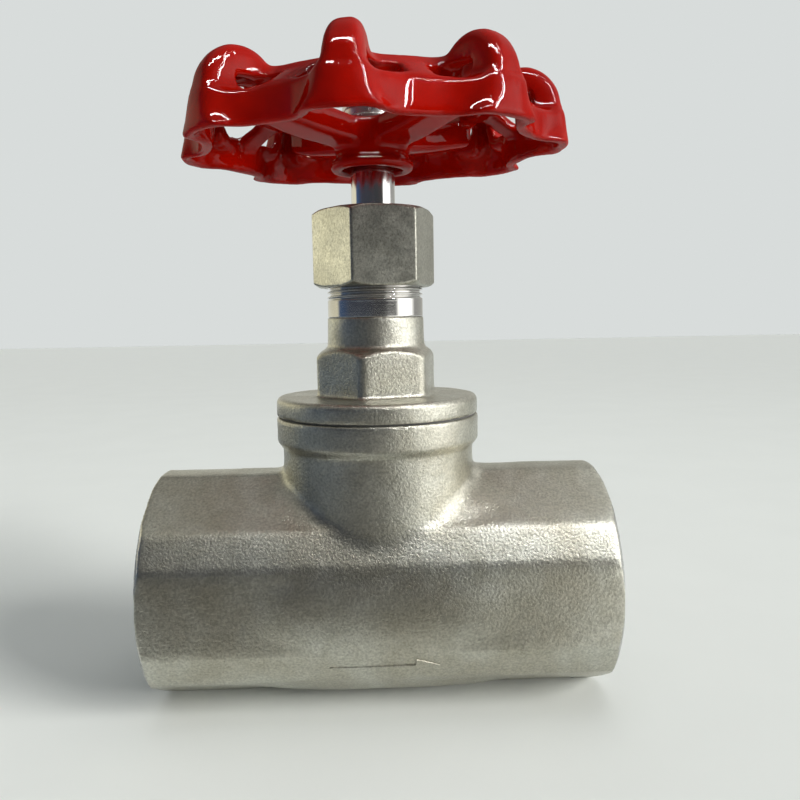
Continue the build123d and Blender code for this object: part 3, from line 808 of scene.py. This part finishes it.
def handwheel():
    """Cast wheel: wavy skirt, sloping web with windows, eight hollow lobes, ring, spokes and hub."""
    g = Grid((-60.2, -60.2, WHEEL_BASE - 6), (60.2, 60.2, WHEEL_BASE + 26), 0.6)
    wobble = OUT_OF_TRUE[0] * g.x + OUT_OF_TRUE[1] * g.y - 0.28     # kept under the CAD wheel's top
    fade = np.clip((g.radius - 14) / 16, 0, 1)                      # the hub runs true
    z = g.z - WHEEL_BASE - fade * wobble
    angle = np.arctan2(g.y, g.x) - LOBE_PHASE
    local = (angle + LOBE_PITCH / 2) % LOBE_PITCH - LOBE_PITCH / 2
    along = g.radius * np.cos(local)
    across = np.abs(g.radius * np.sin(local))
    to_strut = g.radius * np.abs(np.sin(LOBE_PITCH / 2 - np.abs(local)))

    shell = wheel_rim(g, z, angle, along, across)
    shell = cut(shell, wheel_windows(g, z, angle, across, to_strut), 1.3)
    for spoke in range(SPOKES):
        shell = join(shell, wheel_spoke(g, z, LOBE_PHASE + spoke * 2 * math.pi / SPOKES), 1.4)
    hub = keep(g.radius - HUB, slab(z, HUB_BOTTOM, HUB_TOP), 1.2)
    lip = keep(g.radius - HUB_LIP, slab(z, HUB_BOTTOM, -2.2), 1.4)
    shell = join(shell, join(hub, lip, 1.6), 1.6)
    shell = cut(shell, keep(g.radius - HUB_RECESS, z + 1.2, 0.6), 0.8)
    shell = np.maximum(shell, HALF_SOCKET - np.maximum(np.abs(g.x), np.abs(g.y)))
    shell = shell + ripple(g, 22, 0.22, 11) + ripple(g, 7, 0.06, 12)
    piece = skin(g, shell, "handwheel_casting", adaptivity=0.012, relax=3)
    piece.data.materials.append(ENAMEL)
    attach(piece, "stem")
    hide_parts("handwheel")
    return piece


body()
bonnet()
packing_nut = hex_nut("nut_packing", "packing_nut", "valve_body", MILLED,
                      apothem=16.8, phase=40, hole=7.3, recess=(15.15, 4.0), step=0.33)
hex_nut("nut_wheel", "wheel_nut", "stem", PLATED,
        apothem=8.25, phase=12, hole=5.05, recess=None, step=0.2)
flat_washer()
stem()
wheel = handwheel()

CAD_FINISHES = (
    (MACHINED, ("packing_support_washer", "packing_gland", "disc_carrier", "disc_swivel_nut",
                "seat_disc_washer", "seat_disc_nut")),
    (PLATED, ("wheel_spring_washer",)),
    (SHADED_GASKET, ("bonnet_gasket",)),
    (PTFE, ("seat_disc", "packing_bottom_adapter", "packing_ring_1", "packing_ring_2", "packing_ring_3",
            "packing_top_adapter")),
)
for material, nodes in CAD_FINISHES:
    for node in nodes:
        for slot in frame["nodes"][node].material_slots:
            slot.material = material


# ---------------------------------------------------------------- floor, light, camera
# All lengths below are in metres.
def level_sheet(name, low, high, height):
    """Level rectangle between two corners."""
    corners = ((low[0], low[1]), (high[0], low[1]), (high[0], high[1]), (low[0], high[1]))
    mesh = bpy.data.meshes.new(name)
    mesh.from_pydata([(x, y, height) for x, y in corners], [], [(0, 1, 2, 3)])
    piece = bpy.data.objects.new(name, mesh)
    bpy.context.scene.collection.objects.link(piece)
    return piece


def floor():
    """Pale matt table."""
    piece = level_sheet("floor", (-4.0, -4.0), (4.0, 4.0), 0)
    s = Shader("table", Specular_IOR_Level=0.0)
    s.set("Base Color", s.ramp(s.noise(60, 3), (0.3, (0.800, 0.825, 0.800)), (0.7, (0.815, 0.84, 0.815))))
    piece.data.materials.append(s.material)


def reflection_card():
    """Glowing card on the table, seen only in reflections: dark painted shade in front and to the left,
    bright painted light to the right.
    """
    piece = level_sheet("reflection_card", (-3.0, -3.0), (3.0, 0.6), 0.0006)
    for kind in ("camera", "diffuse", "transmission", "shadow"):
        setattr(piece, "visible_" + kind, False)
    s = Shader("reflection_card")
    s.nodes.remove(s.surface)
    to_left = s.maths("MULTIPLY", s.along(0), -1.0)
    to_front = s.maths("MULTIPLY", s.along(1), -1.0)
    ahead = s.ramp(to_front, (0.058, 0.0), (0.078, 1.0))
    leftward = s.ramp(to_left, (0.12, 0.0), (0.26, 1.0))
    across = s.maths("ADD", s.along(0), 0.5)
    dark = s.ramp(across, (0.0, (0.065, 0.09, 0.12)), (0.40, (0.100, 0.097, 0.088)),
                  (0.52, (0.118, 0.116, 0.104)))
    bright = s.ramp(across, (0.55, (0.15, 0.148, 0.132)), (0.58, (0.40, 0.40, 0.365)),
                    (0.72, (0.65, 0.65, 0.62)), (0.82, (1.0, 1.0, 0.96)))
    facing = s.ramp(s.maths("ARCTAN2", s.along(0), to_front), (0.40, 0.0), (0.54, 1.0))
    # The card's glow is painted reflection: dim where the table lies in shade, bright where it is lit.
    glow = s.node("Emission", {"Color": s.blend("MIX", facing, dark, bright), "Strength": 2.0})
    clear = s.node("BsdfTransparent")
    there = s.maths("MAXIMUM", ahead, leftward)
    mix = s.node("MixShader", {0: there, 1: clear.outputs[0], 2: glow.outputs[0]})
    s.feed(s.nodes["Material Output"].inputs["Surface"], mix.outputs[0])
    piece.data.materials.append(s.material)


def add_light(name, kind, power, colour):
    """New light, at the origin."""
    light = bpy.data.lights.new(name, kind)
    light.energy = power
    light.color = colour
    piece = bpy.data.objects.new(name, light)
    bpy.context.scene.collection.objects.link(piece)
    return piece


def lamp(name, seen, place, size, power, colour=(1, 1, 1), aim=(0, 0, 0.1), only=None):
    """Rectangular lamp for "diffuse" or "glossy" rays, which may light only one piece."""
    piece = add_light(name, "AREA", power, colour)
    piece.data.shape = "RECTANGLE"
    piece.data.size, piece.data.size_y = size
    away = Vector(place) - Vector(aim)
    piece.matrix_world = Matrix.Translation(place) @ away.to_track_quat("Z", "Y").to_matrix().to_4x4()
    piece.visible_glossy = seen == "glossy"
    piece.visible_diffuse = seen == "diffuse"
    if only:
        lit = bpy.data.collections.new(name + "_lit")
        lit.objects.link(only)
        piece.light_linking.receiver_collection = lit


def even_light(name, strength, spread, colour, towards):
    """Broad distant light that falls evenly on table and object, and isn't mirrored by the metal."""
    piece = add_light(name, "SUN", strength, colour)
    piece.data.angle = math.radians(spread)
    piece.rotation_euler = Vector(towards).to_track_quat("Z", "Y").to_euler()
    piece.visible_glossy = False


# The wall's bands go round from the back at 0 by the left, the front at 0.5 and the right to the back.
# The ceiling's and the overhead ones go from left to right.
WALL_BANDS = ((0.0, (0.22, 0.22, 0.20)), (0.06, (0.26, 0.26, 0.23)), (0.12, (0.30, 0.29, 0.23)),
              (0.214, (0.36, 0.34, 0.25)), (0.235, (0.02, 0.04, 0.085)), (0.33, (0.02, 0.022, 0.03)),
              (0.64, (0.02, 0.02, 0.02)), (0.67, (1.0, 1.0, 0.97)), (0.75, (0.95, 0.95, 0.93)),
              (0.80, (0.14, 0.14, 0.135)), (1.0, (0.20, 0.20, 0.18)))
CEILING_BANDS = ((0.30, (0.045, 0.046, 0.047)), (0.52, (0.06, 0.06, 0.06)), (0.75, (0.32, 0.32, 0.31)))
OVERHEAD_BANDS = ((0.35, (0.15, 0.15, 0.14)), (0.65, (0.18, 0.18, 0.17)))


def surroundings():
    """Pale room: plain to the camera, dim to matt surfaces, and in bands for the metal to reflect."""
    world = bpy.data.worlds.new("room")
    bpy.context.scene.world = world
    t = Tree(world)
    t.nodes.remove(t.nodes["Background"])
    x, y, z = t.node("SeparateXYZ", {"Vector": t.node("TexCoord").outputs["Generated"]}).outputs

    def halved(value):
        return t.maths("ADD", t.maths("MULTIPLY", value, 0.5), 0.5)

    def background(colour, strength):
        return t.node("Background", {"Color": colour, "Strength": strength}).outputs[0]

    def either(test, no, yes):
        return t.node("MixShader", {0: test, 1: no, 2: yes}).outputs[0]

    azimuth = t.maths("ARCTAN2", x, t.maths("MULTIPLY", y, -1.0))
    turn = t.maths("ADD", t.maths("DIVIDE", azimuth, 2 * math.pi), 0.5)
    height = t.ramp(halved(z), (0.0, 0), (0.68, 0), (0.80, 1), (1.0, 1))
    zenith = t.ramp(z, (0.0, 0), (0.74, 0), (0.88, 1))
    upper = t.blend("MIX", height, t.ramp(turn, *WALL_BANDS), t.ramp(halved(x), *CEILING_BANDS))
    banded = background(t.blend("MIX", zenith, upper, t.ramp(halved(x), *OVERHEAD_BANDS)), 3.0)
    plain = background((0.96, 1.0, 0.99), 0.716)
    dim = background((0.92, 0.96, 1.0), 0.14)
    ray = t.node("LightPath").outputs
    shown = either(ray["Is Camera Ray"], banded, plain)
    shown = either(ray["Is Diffuse Ray"], shown, dim)
    t.feed(t.nodes["World Output"].inputs["Surface"], shown)


def camera():
    """Standing low in front of the valve, turned and tilted a little."""
    place = (-0.000335, -0.23771, 0.0825 + PIPE_AXIS * MM)
    yaw, pitch, roll = -0.032, -0.106, 0.018
    level = Matrix.Rotation(math.radians(90), 3, "X")
    turn = Matrix.Rotation(yaw, 3, "Z") @ Matrix.Rotation(pitch, 3, "X") @ Matrix.Rotation(roll, 3, "Y")
    data = bpy.data.cameras.new("camera")
    data.sensor_width = 36.0
    data.lens = 33.525
    data.clip_start = 0.01
    piece = bpy.data.objects.new("camera", data)
    piece.matrix_world = Matrix.Translation(place) @ (turn @ level).to_4x4()
    bpy.context.scene.collection.objects.link(piece)
    bpy.context.scene.camera = piece


floor()
surroundings()
reflection_card()
even_light("sky", 0.5, 90, (0.96, 1.0, 0.985), towards=(-0.1, 0.1, 1.0))
even_light("key", 3.9, 30, (1.0, 0.99, 0.96), towards=(1.35, -0.75, 0.62))
lamp("softbox_top", "diffuse", (0.1, 0.0, 1.0), (0.6, 0.6), 1.5, (0.98, 1.0, 0.98), aim=(0, 0, 0))
lamp("tube_front", "glossy", (0.3, -0.55, 1.15), (0.8, 0.010), 0.8)
lamp("tube_right", "glossy", (0.6, -0.55, 0.85), (0.012, 1.0), 6)
lamp("glow_left", "glossy", (-0.85, 0.18, 0.24), (0.5, 0.5), 0.75, (1.0, 0.93, 0.66), aim=(0, 0, 0.14),
     only=packing_nut)
lamp("gloss_top", "glossy", (-0.1, -0.5, 1.1), (0.9, 0.07), 25, only=wheel)
lamp("gloss_right", "glossy", (0.7, -0.5, 0.6), (0.045, 0.7), 13, only=wheel)
bpy.context.scene.view_settings.view_transform = "Standard"
camera()
